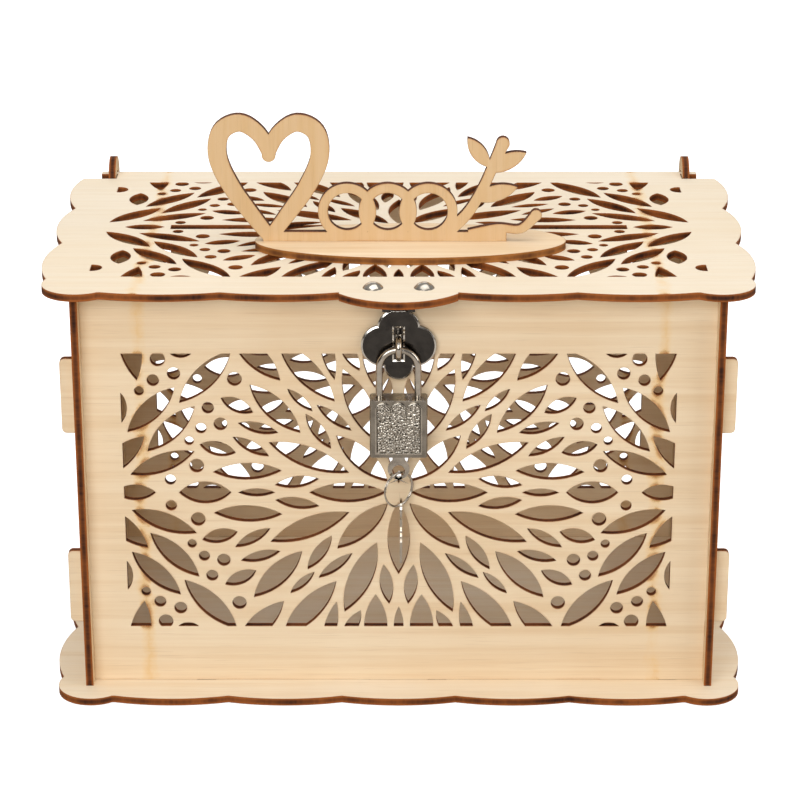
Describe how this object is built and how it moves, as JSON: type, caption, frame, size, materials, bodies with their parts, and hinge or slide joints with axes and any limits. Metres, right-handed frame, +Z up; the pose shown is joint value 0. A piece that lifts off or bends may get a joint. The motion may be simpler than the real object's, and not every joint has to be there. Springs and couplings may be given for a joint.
{
  "type": "wedding card box",
  "caption": "Pierced plywood card box with a hinged slotted lid, a standing ornament, and a hasp closed by a small padlock with keys on a ring.",
  "frame": {"origin": "middle of the base plate's underside, midway between the side panels and between the front and back panels", "axes": "+X to the right seen from the front, +Y to the back, +Z up"},
  "size_m": [0.3, 0.1991, 0.2424],
  "materials": {
    "plywood": "bare laser-cut birch plywood, burnt edges",
    "plywood_dark": "bare laser-cut birch plywood, warmer tone, burnt edges",
    "nickel": "bright nickel plate",
    "gunmetal": "dark polished nickel plate",
    "brass": "plain brass"
  },
  "bodies": {
    "box": {"base_plate": "plywood", "front_panel": "plywood", "back_panel": "plywood", "left_side_panel": "plywood", "right_side_panel": "plywood", "staple_plate": "nickel", "staple_loop": "nickel", "staple_rivets": "nickel", "hasp_leaf": "gunmetal", "hasp_pin": "nickel"},
    "lid": {"lid_panel": "plywood", "sign_base": "plywood_dark", "sign_flourish": "plywood_dark", "hasp_bracket": "gunmetal", "lid_bolts": "nickel", "lid_nuts": "nickel"},
    "shackle": {"padlock_shackle": "nickel"},
    "lock_case": {"padlock_case": "nickel", "padlock_front_face": "gunmetal", "padlock_back_face": "gunmetal", "padlock_bottom_cover": "nickel"},
    "plug": {"padlock_plug": "brass"},
    "latch": {"padlock_latch": "brass"},
    "key": {"padlock_key": "nickel"},
    "ring": {"key_ring": "nickel"},
    "second_key": {"spare_key": "nickel"}
  },
  "joints": [
    {"name": "lid_hinge", "type": "hinge", "parent": "box", "child": "lid", "pos_m": [0, 0.0882, 0.1818], "axis": [-1, 0, 0], "range_deg": [0, 110]},
    {"name": "padlock_swing", "type": "hinge", "parent": "box", "child": "shackle", "pos_m": [0, -0.0851, 0.1573], "axis": [-1, 0, 0], "range_deg": [0, 75]},
    {"name": "shackle_release", "type": "slide", "parent": "shackle", "child": "lock_case", "axis": [0, 0, -1], "range_m": [0, 0.016]},
    {"name": "key_turn", "type": "hinge", "parent": "lock_case", "child": "plug", "pos_m": [0, -0.0851, 0.1112], "axis": [0, 0, -1], "range_deg": [0, 45]},
    {"name": "latch_throw", "type": "slide", "parent": "lock_case", "child": "latch", "axis": [1, 0, 0], "range_m": [0, 0.002]},
    {"name": "key_pull", "type": "slide", "parent": "plug", "child": "key", "axis": [0, 0, -1], "range_m": [0, 0.015]},
    {"name": "ring_swing", "type": "hinge", "parent": "key", "child": "ring", "pos_m": [0, -0.0851, 0.1025], "axis": [-1, 0, 0], "range_deg": [0, 30]},
    {"name": "second_key_swing", "type": "hinge", "parent": "ring", "child": "second_key", "pos_m": [0, -0.0851, 0.0877], "axis": [-1, 0, 0], "range_deg": [-5, 60]}
  ],
  "couplings": [
    {"joint": "key_turn", "follows": "latch_throw", "rad_per_m": 392.69}
  ]
}
